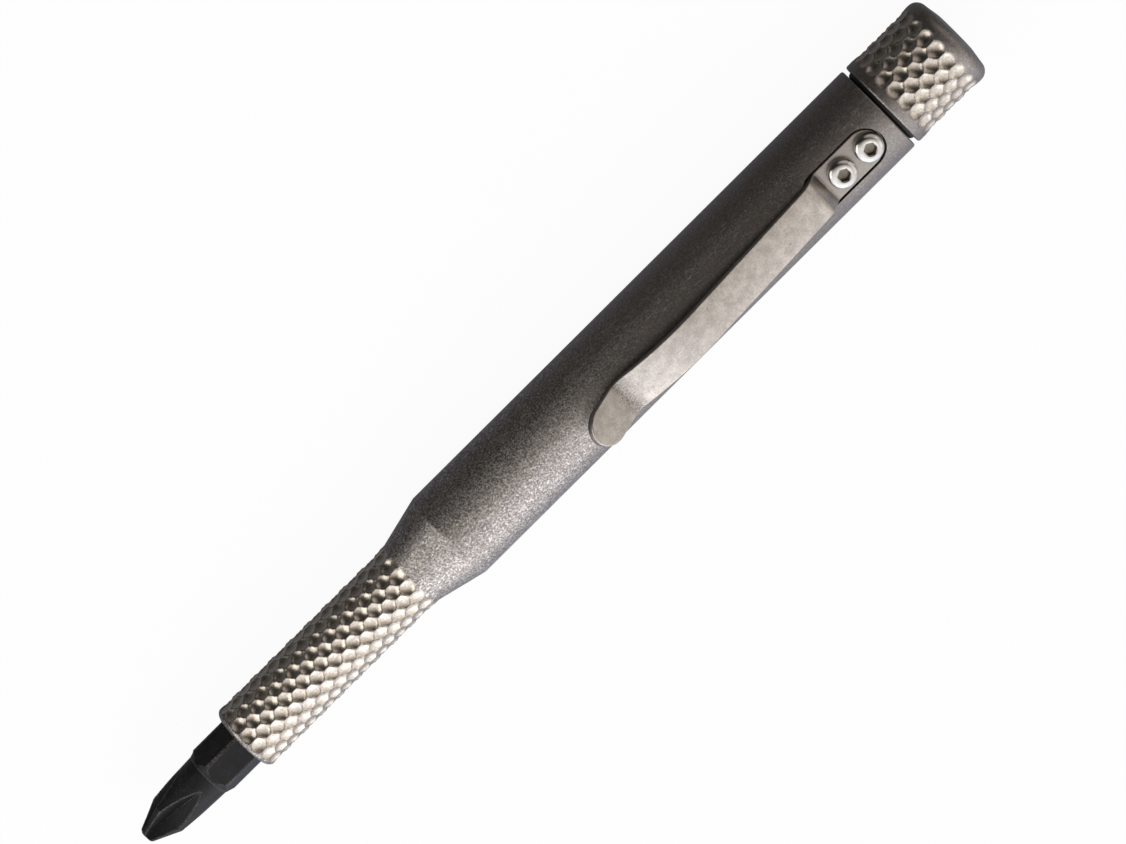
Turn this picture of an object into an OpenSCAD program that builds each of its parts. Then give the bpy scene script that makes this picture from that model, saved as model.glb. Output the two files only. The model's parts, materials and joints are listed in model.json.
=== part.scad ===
// Pocket screwdriver for quarter-inch hex bits.
// A turned barrel holds spare bits behind a screw cap, a dimpled nose holds the bit in use,
// and a bent clip sits in a slot milled into the barrel.
// The tool lies along X with its bit towards +X and its clip up. Z = 0 is what it lies on.

/* [Barrel] */
// Diameter of the plain barrel
barrel_d = 12.7; // [12.4:0.1:14]
// Length of the plain barrel, rear face to cone
barrel_l = 74.3; // [71:0.1:100]
// Chamfer on both edges of the gap between barrel and cap
gap_chamfer = 0.3; // [0.1:0.05:0.4]

/* [Nose] */
// Length of the cone between barrel and nose
cone_l = 6.6; // [4:0.1:14]
// Diameter of the nose
nose_d = 9.5; // [9.4:0.1:11]
// Length of the nose, cone to front rim
nose_l = 29.5; // [20:0.1:40]
// Rounding of the front rim
nose_edge_r = 0.9; // [0.3:0.05:1]
// Depth of the hex socket, rim to magnet
socket_depth = 7.9; // [6:0.1:12]
// Turn of the hex socket and its bit from the clip's side, in degrees
socket_turn = 6; // [0:1:30]

/* [Dimples] */
// Diameter of the ball cutter that sinks every dimple
dimple_ball_d = 4; // [3.6:0.1:6]
// Depth of the nose dimples below the turned surface
nose_dimple_depth = 0.4; // [0.2:0.01:0.5]
// Distance from the front rim to the first ring of nose dimples
nose_first_ring = 1.7; // [1.2:0.01:3]
// Distance between rings of nose dimples
nose_ring_pitch = 1.56; // [1.4:0.005:2]
// Distance between nose dimples round a ring
nose_dimple_step = 1.87; // [1.7:0.01:2.2]
// Depth of the cap dimples below the turned surface
cap_dimple_depth = 0.45; // [0.2:0.01:0.5]
// Distance from the cap's mouth to the first ring of cap dimples
cap_first_ring = 2.5; // [1.6:0.05:4]
// Distance between rings of cap dimples
cap_ring_pitch = 1.63; // [1.5:0.005:2]
// Distance between cap dimples round a ring
cap_dimple_step = 2; // [1.8:0.01:2.3]
// Plain length kept between the last ring of cap dimples and the end
cap_plain_l = 3.3; // [2.8:0.1:5]
// Turn of the cap's dimples from the clip's side, in degrees
cap_phase = 7; // [0:1:18]

/* [End cap] */
// Length of the cap
cap_l = 12.5; // [11:0.1:16]
// Gap between the barrel's rear face and the cap's mouth
cap_gap = 0.55; // [0.4:0.05:0.8]
// Rounding of the cap's end
cap_edge_r = 1.5; // [0.5:0.1:2]
// Height of the shallow crown on the cap's end
cap_crown = 0.3; // [0.1:0.05:0.6]
// Diameter of the flat faced off in the middle of the crown
cap_flat_d = 6; // [3:0.1:8]
// Thickness of the soft pad in the cap
pad_t = 2; // [1:0.1:2.4]
// Diameter of the soft pad
pad_d = 7.8; // [6:0.1:8.4]

/* [Threaded neck and seal] */
// Length of the neck that the cap screws on to
neck_l = 7; // [5:0.1:7.4]
// Wall of the neck, bore to thread crest
neck_wall = 0.95; // [0.8:0.05:1.1]
// Depth of the relief groove that seats the seal ring
relief_depth = 0.25; // [0.1:0.05:0.4]
// Section diameter of the seal ring
seal_section_d = 1; // [0.8:0.05:1.1]

/* [Clip] */
// Width of the clip
clip_w = 5; // [4:0.1:6]
// Thickness of the clip
clip_t = 1; // [0.8:0.05:1.1]
// Length of the clip, end of the plate to tip of the foot
clip_l = 50.3; // [44:0.1:60]
// Length of the flat plate under the screws
clip_plate_l = 9.1; // [8.6:0.1:12]
// Length over which the clip rises out of its slot
clip_rise_l = 1.6; // [1.4:0.1:3]
// Distance from the crest of the arm to the contact bend
clip_crest_l = 8; // [7:0.1:9]
// Length of the upturned foot
clip_foot_l = 6.2; // [4:0.1:8]
// Gap between barrel and clip where the arm starts
clip_heel_gap = 0.1; // [0.05:0.05:0.6]
// Gap between barrel and clip below the corner of the crest
clip_crest_gap = 3; // [2.2:0.05:3.4]
// Gap between barrel and clip at the contact bend
clip_contact_gap = 0.92; // [0.4:0.02:1.6]
// Gap between barrel and clip at the tip of the foot
clip_foot_gap = 4.6; // [2:0.05:5]
// Distance from the barrel's rear face to the end of the clip's slot
slot_rear = 2.07; // [1.5:0.01:6]

/* [Clip screws] */
// Distance between the two screws
screw_pitch = 4.45; // [4.3:0.05:5]
// Distance from the end of the plate to the rear screw
screw_edge = 1.95; // [1.9:0.05:2.4]
// Diameter of the screw thread
screw_d = 2; // [1.6:0.1:2.2]
// Diameter of the screw head
screw_head_d = 3.8; // [3:0.1:4]
// Height of the screw head
screw_head_h = 1.4; // [1.2:0.1:2]
// Width across the flats of the key socket
screw_key_af = 1.5; // [1.2:0.1:2]

/* [Bits] */
// Width across the flats of the hex shank
bit_af = 6.35; // [6.2:0.01:6.4]
// Length of every bit
bit_l = 25; // [24:0.1:25.4]
// Length of the hex shank, without the taper in front of it
bit_hex_l = 12.6; // [10:0.1:15]
// Length of the taper from the hex to the round shank
bit_taper_l = 1.3; // [0.8:0.1:2]
// Diameter of the round shank behind the tip
bit_shank_d = 6.18; // [5.4:0.02:6.2]
// Diameter of the blunt end of the cross tip
cross_end_d = 2; // [1.6:0.1:2.6]
// Length of the pointed part of the cross tip
cross_point_l = 3.8; // [3:0.1:5]
// Radius of the wheel that cuts the flutes of the cross tip
cross_wheel_r = 16.5; // [14:0.5:24]
// Radius left between the flutes at the cross tip's end
cross_core_r = 0.5; // [0.4:0.05:0.9]
// Thickness of the slotted tip
blade_t = 1; // [0.6:0.1:1.4]
// Width of the slotted tip
blade_w = 5.5; // [4:0.1:5.8]
// Width across the flats of the hex tip
hex_tip_af = 4; // [2:0.5:5]
// Diameter over the points of the star tip
star_tip_d = 4.4; // [3:0.1:5]

/* [Magnet] */
// Diameter of the magnet behind the bit
magnet_d = 6; // [4:0.1:6.2]
// Thickness of the magnet
magnet_t = 3; // [1:0.1:5]

/* [Hidden] */
$fn = 64;

// Clearances
socket_clear = 0.05;
magnet_clear = 0.02;
store_clear = 0.2;
thread_clear = 0.05;
seal_clear = 0.1;
pad_clear = 0.03;
slot_clear = 0.25;
screw_clear = 0.1;
tap_clear = 0.02;
touch_gap = 0.02;
end_gap = 0.5;
bit_gap = 0.05;
store_end_gap = 0.4;
cut_over = 0.05;
dimple_over = 0.15;

// Length of the slot past the clip's rise, and number of bits in the barrel
slot_run = 1.5;
spare_count = 3;

// Small details of the turned pieces
neck_chamfer = 0.4;
mouth_chamfer = 0.25;
drill_point_angle = 118;
ring_end_margin = 1.1;
screw_head_chamfer = 0.3;
screw_key_depth = 0.8;

// Small details of the bits
bit_rear_chamfer = 0.6;
bit_corner_cut = 0.066;
cross_neck_share = 0.913;
flute_angle = 100;
flute_reach = 4;
plain_tip_l = 8;
blade_ramp_l = 7;
tip_chamfer = 0.3;
star_lobes = 6;
star_flank_share = 0.27;

// Bend radii of the clip, on its centre line
clip_rise_r = 1.2;
clip_heel_r = 1.5;
clip_crest_r = 28;
clip_contact_r = 2;

// Steps in a bend of the clip and in the rounded edge of the cap
bend_steps = 10;
edge_steps = 8;

// Radii and stations along the tool, counted from the barrel's rear face towards the bit
barrel_r = barrel_d / 2;
nose_r = nose_d / 2;
cone_end = barrel_l + cone_l;
nose_end = cone_end + nose_l;
socket_end = nose_end - socket_depth;
tip_end = socket_end + bit_l;
cap_mouth = -cap_gap;
cap_end = cap_mouth - cap_l;
mid = (tip_end + cap_end) / 2;

bit_flat_r = bit_af / 2;
bit_corner_r = bit_flat_r / cos(30) - bit_corner_cut;
store_r = bit_corner_r + store_clear;
neck_r = store_r + neck_wall;
relief_r = neck_r - relief_depth;
relief_l = seal_section_d + cut_over;
thread_bore_r = neck_r + thread_clear;
seal_seat_r = relief_r + seal_section_d + seal_clear;
pad_face = -neck_l - end_gap;
store_end = pad_face + spare_count * (bit_l + bit_gap) + store_end_gap;

// Slot and plate: the plate lies flush with the rim of its slot
slot_w = clip_w + 2 * slot_clear;
plate_top = sqrt(pow(barrel_r, 2) - pow(slot_w / 2, 2));
slot_floor = plate_top - clip_t;
plate_end = slot_rear + slot_clear;
slot_front = plate_end + clip_plate_l + clip_rise_l + slot_run;
rear_screw = plate_end + screw_edge;
front_screw = rear_screw + screw_pitch;

nose_rings = floor((nose_l - nose_first_ring - ring_end_margin) / nose_ring_pitch) + 1;
nose_ring_count = round(PI * nose_d / nose_dimple_step);
cap_rings = floor((cap_l - cap_first_ring - cap_plain_l) / cap_ring_pitch) + 1;
cap_ring_count = round(PI * barrel_d / cap_dimple_step);

// Points of an arc that rounds corner b between a and c with radius r
function unit(v) = v / norm(v);
function rounded(a, b, c, r) =
    let (u = unit(a - b), v = unit(c - b),
        half = acos(u * v) / 2,
        centre = b + unit(u + v) * r / sin(half),
        from = b + u * r / tan(half) - centre,
        to = b + v * r / tan(half) - centre)
    [for (i = [0 : bend_steps])
        let (t = i / bend_steps) centre + r * unit(from * (1 - t) + to * t)];

// Centre line of the clip as [station, height over the axis]
function level(gap) = barrel_r + gap + clip_t / 2;
clip_tip = plate_end + clip_l;
clip_contact = clip_tip - clip_foot_l;
clip_corners = [
    [plate_end, plate_top - clip_t / 2],
    [plate_end + clip_plate_l, plate_top - clip_t / 2],
    [plate_end + clip_plate_l + clip_rise_l, level(clip_heel_gap)],
    [clip_contact - clip_crest_l, level(clip_crest_gap)],
    [clip_contact, level(clip_contact_gap)],
    [clip_tip, level(clip_foot_gap)]];
clip_radii = [clip_rise_r, clip_heel_r, clip_crest_r, clip_contact_r];
clip_line = [
    clip_corners[0],
    for (i = [0 : len(clip_radii) - 1])
        each rounded(clip_corners[i], clip_corners[i + 1], clip_corners[i + 2], clip_radii[i]),
    clip_corners[len(clip_corners) - 1]];

// Normal of the clip's line at point i, and the line shifted along it
function clip_normal(i) =
    let (d = unit(clip_line[min(i + 1, len(clip_line) - 1)] - clip_line[max(i - 1, 0)]))
    [-d[1], d[0]];
function clip_side(shift) = [for (i = [0 : len(clip_line) - 1]) clip_line[i] + shift * clip_normal(i)];

function reversed(list) = [for (i = [len(list) - 1 : -1 : 0]) list[i]];

// Puts the finished tool in its frame: middle over the origin, lowest line on Z = 0
module placed() {
    translate([-mid, 0, barrel_r]) children();
}

// Turns a profile of [radius, station] points about the tool's axis
module turned() {
    rotate([0, 90, 0]) rotate_extrude() children();
}

// Round bore or bar between two stations
module round_bar(r, from, to) {
    translate([from, 0, 0]) rotate([0, 90, 0]) cylinder(r = r, h = to - from);
}

// Hex bar between two stations, with a flat on top
module hex_bar(af, from, to) {
    translate([from, 0, 0]) rotate([0, 90, 0]) rotate([0, 0, 30])
        cylinder(r = af / 2 / cos(30), h = to - from, $fn = 6);
}

// What a ball cutter sinks: the bottom of a ball, cut off level
module dimple(depth) {
    ball_r = dimple_ball_d / 2;
    intersection() {
        translate([0, 0, ball_r]) rotate([90, 0, 0]) sphere(r = ball_r);
        cylinder(r = ball_r, h = depth + dimple_over);
    }
}

// Rings of dimples on a bar of radius r, every other ring turned by half a step
module dimple_rings(r, depth, rings, pitch, count, phase) {
    for (i = [0 : rings - 1], j = [0 : count - 1])
        translate([i * pitch, 0, 0])
            rotate([phase + (j + (i % 2) / 2) * 360 / count, 0, 0])
                translate([0, 0, r - depth]) dimple(depth, $fn = 32);
}

// Slot with round ends, seen from above
module slot_plan(from, to, w) {
    r = w / 2;
    translate([from + r, -r]) square([to - from - w, w]);
    for (x = [from + r, to - r])
        translate([x, 0]) circle(r = r);
}

module body_blank() {
    turned() {
        polygon([
            [0, -neck_l],
            [neck_r - neck_chamfer, -neck_l],
            [neck_r, neck_chamfer - neck_l],
            [neck_r, -relief_l],
            [relief_r, -relief_l],
            [relief_r, 0],
            [barrel_r - gap_chamfer, 0],
            [barrel_r, gap_chamfer],
            [barrel_r, barrel_l],
            [nose_r, cone_end],
            [nose_r, nose_end - nose_edge_r],
            [nose_r - nose_edge_r, nose_end],
            [0, nose_end]]);
        translate([nose_r - nose_edge_r, nose_end - nose_edge_r]) circle(r = nose_edge_r);
    }
}

// Bore for the spare bits, with the point that the drill leaves
module store_bore() {
    turned() polygon([
        [0, -neck_l - cut_over],
        [store_r, -neck_l - cut_over],
        [store_r, store_end],
        [0, store_end + store_r / tan(drill_point_angle / 2)]]);
}

// Hex socket with a countersunk mouth, and the magnet's pocket behind it
module bit_socket() {
    socket_af = bit_af + 2 * socket_clear;
    corner_r = socket_af / 2 / cos(30);
    rotate([socket_turn, 0, 0]) hex_bar(socket_af, socket_end, nose_end + cut_over);
    round_bar(magnet_d / 2 + magnet_clear, socket_end - magnet_t, socket_end + cut_over);
    turned() polygon([
        [0, nose_end - mouth_chamfer],
        [corner_r - mouth_chamfer, nose_end - mouth_chamfer],
        [corner_r + cut_over, nose_end + cut_over],
        [0, nose_end + cut_over]]);
}

module clip_slot() {
    translate([0, 0, slot_floor]) linear_extrude(barrel_r) slot_plan(slot_rear, slot_front, slot_w);
    for (a = [rear_screw, front_screw])
        translate([a, 0, 0]) cylinder(d = screw_d, h = slot_floor + cut_over);
}

module body() {
    color("#7a7470") placed()
        difference() {
            body_blank();
            store_bore();
            bit_socket();
            clip_slot();
            translate([nose_end - nose_first_ring, 0, 0]) mirror([1, 0, 0])
                dimple_rings(nose_r, nose_dimple_depth, nose_rings, nose_ring_pitch, nose_ring_count, 0);
        }
}

module cap_blank() {
    edge_centre = [barrel_r - cap_edge_r, cap_end + cap_crown + cap_edge_r];
    turned() polygon([
        [0, cap_mouth],
        [barrel_r - gap_chamfer, cap_mouth],
        [barrel_r, cap_mouth - gap_chamfer],
        for (i = [0 : edge_steps])
            let (turn = 90 * i / edge_steps) edge_centre + cap_edge_r * [cos(turn), -sin(turn)],
        [cap_flat_d / 2, cap_end],
        [0, cap_end]]);
}

// Seat of the seal ring, thread bore and recess of the pad, one behind the other
module cap_bore() {
    seat_end = -relief_l;
    turned() polygon([
        [0, cap_mouth + cut_over],
        [seal_seat_r, cap_mouth + cut_over],
        [seal_seat_r, seat_end],
        [thread_bore_r, seat_end],
        [thread_bore_r, pad_face],
        [pad_d / 2 + pad_clear, pad_face],
        [pad_d / 2 + pad_clear, pad_face - pad_t],
        [0, pad_face - pad_t]]);
}

module end_cap() {
    color("#7a7470") placed()
        difference() {
            cap_blank();
            cap_bore();
            translate([cap_mouth - cap_first_ring, 0, 0]) mirror([1, 0, 0])
                dimple_rings(barrel_r, cap_dimple_depth, cap_rings, cap_ring_pitch, cap_ring_count, cap_phase);
        }
}

module neck_o_ring() {
    section_r = seal_section_d / 2;
    color("#1c1c1e") placed()
        turned() translate([relief_r + section_r, -section_r]) circle(r = section_r);
}

module pocket_clip() {
    color("#a59c92") placed()
        difference() {
            intersection() {
                rotate([90, 0, 0]) linear_extrude(clip_w, center = true)
                    polygon(concat(clip_side(clip_t / 2), reversed(clip_side(-clip_t / 2))));
                linear_extrude(level(clip_foot_gap) + clip_t) slot_plan(plate_end, clip_tip, clip_w);
            }
            for (a = [rear_screw, front_screw])
                translate([a, 0, slot_floor - cut_over])
                    cylinder(d = screw_d + 2 * screw_clear, h = clip_t + 2 * cut_over);
        }
}

// Socket head screw that stands on the plate and ends flush with the bore
module clip_screw(station) {
    head_r = screw_head_d / 2;
    thread_r = screw_d / 2 - tap_clear;
    thread_l = plate_top - store_r - touch_gap;
    color("#d5d3cf") placed() translate([station, 0, plate_top])
        difference() {
            rotate_extrude() polygon([
                [0, -thread_l],
                [thread_r, -thread_l],
                [thread_r, 0],
                [head_r, 0],
                [head_r, screw_head_h - screw_head_chamfer],
                [head_r - screw_head_chamfer, screw_head_h],
                [0, screw_head_h]]);
            translate([0, 0, screw_head_h - screw_key_depth])
                cylinder(r = screw_key_af / 2 / cos(30), h = screw_key_depth + cut_over, $fn = 6);
        }
}

module clip_screw_front() {
    clip_screw(front_screw);
}

module clip_screw_rear() {
    clip_screw(rear_screw);
}

module socket_magnet() {
    color("#c9c9cc") placed() round_bar(magnet_d / 2, socket_end - magnet_t, socket_end - touch_gap);
}

// Hex shank of a bit from station 0, tapering to what the tip's profile goes on with
module bit_blank(tip_points) {
    intersection() {
        hex_bar(bit_af, 0, bit_l);
        turned() polygon(concat([
            [0, 0],
            [bit_corner_r - bit_rear_chamfer, 0],
            [bit_corner_r, bit_rear_chamfer],
            [bit_corner_r, bit_hex_l],
            [bit_shank_d / 2, bit_hex_l + bit_taper_l]], tip_points));
    }
}

// One flute of the cross tip: the edge of a wheel that runs out along the shank
module cross_flute() {
    half_w = flute_reach * tan(flute_angle / 2);
    translate([bit_l, 0, cross_core_r + cross_wheel_r]) rotate([90, 0, 0])
        rotate_extrude() polygon([
            [cross_wheel_r, 0],
            [cross_wheel_r - flute_reach, half_w],
            [cross_wheel_r - flute_reach, -half_w]]);
}

module cross_bit() {
    point_r = bit_shank_d * cross_neck_share / 2;
    difference() {
        bit_blank([[point_r, bit_l - cross_point_l], [cross_end_d / 2, bit_l], [0, bit_l]]);
        for (i = [0 : 3])
            rotate([90 * i, 0, 0]) cross_flute();
    }
}

// Flat blade: a round end between two ramps
module slotted_bit() {
    blade_r = blade_w / 2;
    difference() {
        bit_blank([[blade_r, bit_l - blade_ramp_l], [blade_r, bit_l], [0, bit_l]]);
        for (side = [0, 1])
            mirror([0, 0, side]) rotate([90, 0, 0]) linear_extrude(bit_af, center = true)
                polygon([
                    [bit_l - blade_ramp_l, blade_r],
                    [bit_l - tip_chamfer, blade_t / 2],
                    [bit_l + cut_over, blade_t / 2],
                    [bit_l + cut_over, blade_r + cut_over],
                    [bit_l - blade_ramp_l, blade_r + cut_over]]);
    }
}

// Shank that ends in a cone down to radius r, where a plain tip starts
module stepped_blank(r) {
    step_a = bit_l - plain_tip_l;
    bit_blank([[bit_shank_d / 2, step_a + r - bit_shank_d / 2], [r, step_a], [0, step_a]]);
}

// Plain tip of radius r with a chamfered end
module plain_tip(r) {
    turned() polygon([
        [0, bit_l - plain_tip_l - cut_over],
        [r, bit_l - plain_tip_l - cut_over],
        [r, bit_l - tip_chamfer],
        [r - tip_chamfer, bit_l],
        [0, bit_l]]);
}

module hex_tip_bit() {
    corner_r = hex_tip_af / 2 / cos(30);
    stepped_blank(corner_r + tip_chamfer);
    intersection() {
        plain_tip(corner_r);
        hex_bar(hex_tip_af, 0, bit_l + cut_over);
    }
}

module star_tip_bit() {
    flank_r = star_tip_d * star_flank_share / 2;
    stepped_blank(star_tip_d / 2 + tip_chamfer);
    difference() {
        plain_tip(star_tip_d / 2);
        for (i = [0 : star_lobes - 1])
            rotate([(i + 1 / 2) * 360 / star_lobes, 0, 0])
                translate([0, 0, star_tip_d / 2 + flank_r / 2])
                    round_bar(flank_r, bit_hex_l, bit_l + cut_over);
    }
}

module driver_bit() {
    color("#1f1f21") placed() translate([socket_end, 0, 0]) rotate([socket_turn, 0, 0]) cross_bit();
}

// A stored bit lies on the floor of the bore, on two corners of its hex
module stored(place) {
    drop = sqrt(pow(store_r, 2) - pow(bit_corner_r / 2, 2)) - bit_corner_r * cos(30) - touch_gap;
    color("#2a2a2d") placed()
        translate([pad_face + bit_gap + place * (bit_l + bit_gap), 0, -drop]) children();
}

module spare_bit_slotted() {
    stored(0) slotted_bit();
}

module spare_bit_hex() {
    stored(1) hex_tip_bit();
}

module spare_bit_star() {
    stored(2) star_tip_bit();
}

module rattle_pad() {
    color("#8a2f24") placed() round_bar(pad_d / 2, pad_face - pad_t + touch_gap, pad_face);
}

body();
end_cap();
neck_o_ring();
pocket_clip();
clip_screw_front();
clip_screw_rear();
socket_magnet();
driver_bit();
spare_bit_slotted();
spare_bit_hex();
spare_bit_star();
rattle_pad();
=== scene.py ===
# %% [markdown]
# # A pocket screwdriver, piece by piece
# The tool is a pen made of titanium. A plain barrel holds spare bits, a slim nose covered with dimples holds
# the bit in use, a screw cap with the same dimples closes the rear end, and a bent clip holds it in a pocket.
# The CAD solids are the frame: they say where everything sits and how it moves. These cells put finished
# pieces on that frame, so the first thing to do is to load it and to note its box before anything is added.

# %% Load the frame
import json
import math

import bmesh
import bpy
import numpy as np
from mathutils import Matrix, Vector

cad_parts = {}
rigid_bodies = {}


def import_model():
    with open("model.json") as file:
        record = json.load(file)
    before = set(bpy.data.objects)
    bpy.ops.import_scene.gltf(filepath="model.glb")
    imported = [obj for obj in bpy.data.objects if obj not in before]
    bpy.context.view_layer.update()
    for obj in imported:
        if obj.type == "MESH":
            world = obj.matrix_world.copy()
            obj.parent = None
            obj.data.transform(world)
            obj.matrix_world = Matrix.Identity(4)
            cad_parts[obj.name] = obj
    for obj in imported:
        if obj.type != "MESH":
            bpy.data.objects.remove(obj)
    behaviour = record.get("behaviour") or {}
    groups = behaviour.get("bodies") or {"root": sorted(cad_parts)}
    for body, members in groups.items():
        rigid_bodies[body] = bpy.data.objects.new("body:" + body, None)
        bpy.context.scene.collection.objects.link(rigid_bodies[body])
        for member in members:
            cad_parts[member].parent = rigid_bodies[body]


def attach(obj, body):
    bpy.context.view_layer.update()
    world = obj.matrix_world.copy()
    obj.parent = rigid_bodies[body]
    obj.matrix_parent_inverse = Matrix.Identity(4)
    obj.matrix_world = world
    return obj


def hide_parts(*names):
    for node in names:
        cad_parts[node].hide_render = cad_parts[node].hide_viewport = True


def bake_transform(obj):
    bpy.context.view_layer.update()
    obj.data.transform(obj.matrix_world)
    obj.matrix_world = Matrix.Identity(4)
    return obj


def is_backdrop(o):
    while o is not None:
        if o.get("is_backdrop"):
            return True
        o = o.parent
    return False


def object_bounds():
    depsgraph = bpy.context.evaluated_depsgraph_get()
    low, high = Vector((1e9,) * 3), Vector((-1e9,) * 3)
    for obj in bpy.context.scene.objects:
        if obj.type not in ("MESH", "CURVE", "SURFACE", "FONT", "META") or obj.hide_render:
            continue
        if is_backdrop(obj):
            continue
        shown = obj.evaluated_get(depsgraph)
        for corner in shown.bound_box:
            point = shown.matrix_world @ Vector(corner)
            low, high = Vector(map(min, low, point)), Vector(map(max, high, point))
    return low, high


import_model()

cad_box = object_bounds()

# %% [markdown]
# Sizes are in millimetres, as on a drawing, and become metres only when a mesh is made. A place along the
# tool is a station: its distance from the rear face of the barrel, counted towards the bit. The tool's axis
# lies along X, half a barrel over the table. Angles round the axis start at the top, where the clip is.

# %% Drawing sizes
MM = 0.001
MID = 57.225  # station of the frame's origin
AXIS = 6.35  # height of the axis over the table
BARREL_R, NOSE_R, NECK_R, BORE_R = 6.35, 4.75, 4.75, 3.8
BARREL_END, CONE_END, NOSE_END = 74.3, 80.9, 110.4
POCKET_FLOOR, SOCKET_FLOOR = 99.5, 102.5  # of the magnet's pocket and of the hex socket
SOCKET_TURN = 6  # degrees from the top to the middle of a flat of the socket
BALL_R, NOSE_COUNT, CAP_COUNT = 2, 16, 20  # the ball that cuts the dimples, and dimples in a ring
DIMPLE_ROWS, DIMPLE_COLUMNS = 9, 12  # of the mesh
BODY_COLUMNS = NOSE_COUNT * DIMPLE_COLUMNS
THREAD_DEPTH, THREAD_PITCH = 0.3, 1


def spot(station, across=0.0, over_axis=0.0):
    """The point in the frame, in metres, of a place on the drawing."""
    return Vector(((station - MID) * MM, across * MM, (AXIS + over_axis) * MM))


print("tool from", round(cad_box[0].x / MM, 2), "to", round(cad_box[1].x / MM, 2), "mm")

# %% [markdown]
# Both the shapes and the finishes below are node trees. Trees are easier to read as sums than as lists of
# links, so a Wire stands for one output of a node, and adding or multiplying wires puts the Math nodes in.
# The swapped forms make 1 - mask work too. Every other node comes through add(), which sets the node's own
# settings first, because some of them change which sockets it has.

# %% Wires
def math_node(operation, swapped=False):
    """A method of a wire that puts one Math node into its tree."""
    def method(self, *other):
        return self.sum(operation, *((*other, self) if swapped else (self, *other)))

    return method


class Wire:
    """One output socket. A sum of wires puts Math nodes into their tree."""

    def __init__(self, bench, socket):
        self.bench = bench
        self.socket = socket

    def sum(self, operation, *values):
        return self.bench.add("ShaderNodeMath", {"operation": operation}, dict(enumerate(values)))

    __add__ = __radd__ = math_node("ADD")
    __sub__, __rsub__ = math_node("SUBTRACT"), math_node("SUBTRACT", swapped=True)
    __mul__ = __rmul__ = math_node("MULTIPLY")
    __truediv__, __rtruediv__ = math_node("DIVIDE"), math_node("DIVIDE", swapped=True)
    __abs__ = math_node("ABSOLUTE")
    least, most, over = math_node("MINIMUM"), math_node("MAXIMUM"), math_node("GREATER_THAN")

    def by(self, operation):
        """A Math node that this wire alone goes into, such as ROUND or SQRT."""
        return self.sum(operation, self)

    def axis(self, letter):
        """X, Y or Z of a wire that carries a vector."""
        return self.bench.add("ShaderNodeSeparateXYZ", None, {"Vector": self}, out=letter)

    def rise(self, low, high):
        """A soft step: 0 below low, 1 above high. Low may be the larger of the two."""
        return self.bench.add("ShaderNodeMapRange", {"interpolation_type": "SMOOTHSTEP"},
                              {"Value": self, "From Min": low, "From Max": high})


class Bench:
    """A node tree to work on."""

    def __init__(self, tree):
        self.tree = tree

    def add(self, kind, settings=None, sockets=None, out=0):
        node = self.tree.nodes.new(kind)
        for name, value in (settings or {}).items():
            setattr(node, name, value)
        for key, value in (sockets or {}).items():
            named = [s for s in node.inputs if s.name == key and s.enabled]
            socket = named[0] if named else node.inputs[key]
            if isinstance(value, Wire):
                self.tree.links.new(value.socket, socket)
            else:
                socket.default_value = value
        if not node.outputs:
            return node
        named = [s for s in node.outputs if s.name == out and s.enabled]
        return Wire(self, named[0] if named else node.outputs[out])


print("Wire knows", len([k for k in vars(Wire) if not k.startswith("_")]), "named operations")

# %% [markdown]
# Almost every piece of this tool came off a lathe, so one helper stands in for the lathe. It takes stations
# with radii, from the middle of one end to the middle of the other, and turns them round the axis. A station
# may have two radii: the first is held by six flats and the second cuts the corners, which gives hex sockets,
# hex shanks and the curved edges between a hex and a round shank. Blender's Screw modifier turns a profile
# too, but it knows nothing of flats.

# %% The lathe
def placed(name, data):
    """A new object with this data, put into the scene."""
    thing = bpy.data.objects.new(name, data)
    bpy.context.scene.collection.objects.link(thing)
    return thing


def built(name, points, faces):
    """A new mesh object in the scene."""
    mesh = bpy.data.meshes.new(name)
    mesh.from_pydata(points, [], faces)
    return placed(name, mesh)


def turned(name, stations, columns, start=0.0, reshape=None, upright=False, flat_turn=0.0, zigzag=None):
    """A turned piece. Its rows are stations, its columns go round from the angle start, in degrees.

    The flats of a hex start at flat_turn. Rows between the two stations of zigzag, inner rows too, have
    triangles for faces, and every other column of theirs is moved by half the mean step between them.
    """
    rows = [tuple(s) if len(s) == 3 else (s[0], s[1], s[1]) for s in stations]
    station, flat, corner = (np.array(v, float)[:, None] for v in zip(*rows))
    turn = np.radians(start) + np.arange(columns)[None, :] * 2 * np.pi / columns
    on_hex = turn - np.radians(flat_turn)
    radius = np.minimum(flat / np.cos((on_hex + np.pi / 6) % (np.pi / 3) - np.pi / 6), corner)
    if reshape:
        radius = reshape(station, on_hex, radius)
    across, up = -radius * np.sin(turn), radius * np.cos(turn)
    along = station + 0 * turn
    woven = np.zeros(len(rows), bool)
    if zigzag:
        woven = (station[:, 0] > min(zigzag)) & (station[:, 0] < max(zigzag))
        along[np.ix_(woven, range(1, columns, 2))] += np.diff(station[woven, 0]).mean() / 2
    if upright:
        points = np.stack([across, up, along], -1) * MM
    else:
        points = np.stack([along - MID, across, up + AXIS], -1) * MM
    verts, index = [], []
    for i, row in enumerate(points):
        if flat[i, 0] == 0:
            index.append([len(verts)] * columns)
            verts.append(row[0])
        else:
            index.append(list(range(len(verts), len(verts) + columns)))
            verts.extend(row)
    faces = []
    for i, (upper, lower) in enumerate(zip(index, index[1:])):
        for j in range(columns):
            k = (j + 1) % columns
            a, b, c, d = ring = (upper[j], upper[k], lower[k], lower[j])
            if woven[i] and woven[i + 1]:
                faces += [(a, b, c), (a, c, d)] if j % 2 else [(a, b, d), (b, c, d)]
            else:
                faces.append([p for n, p in enumerate(ring) if p != ring[n - 1]])
    return built(name, [tuple(v) for v in verts], faces)


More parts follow.
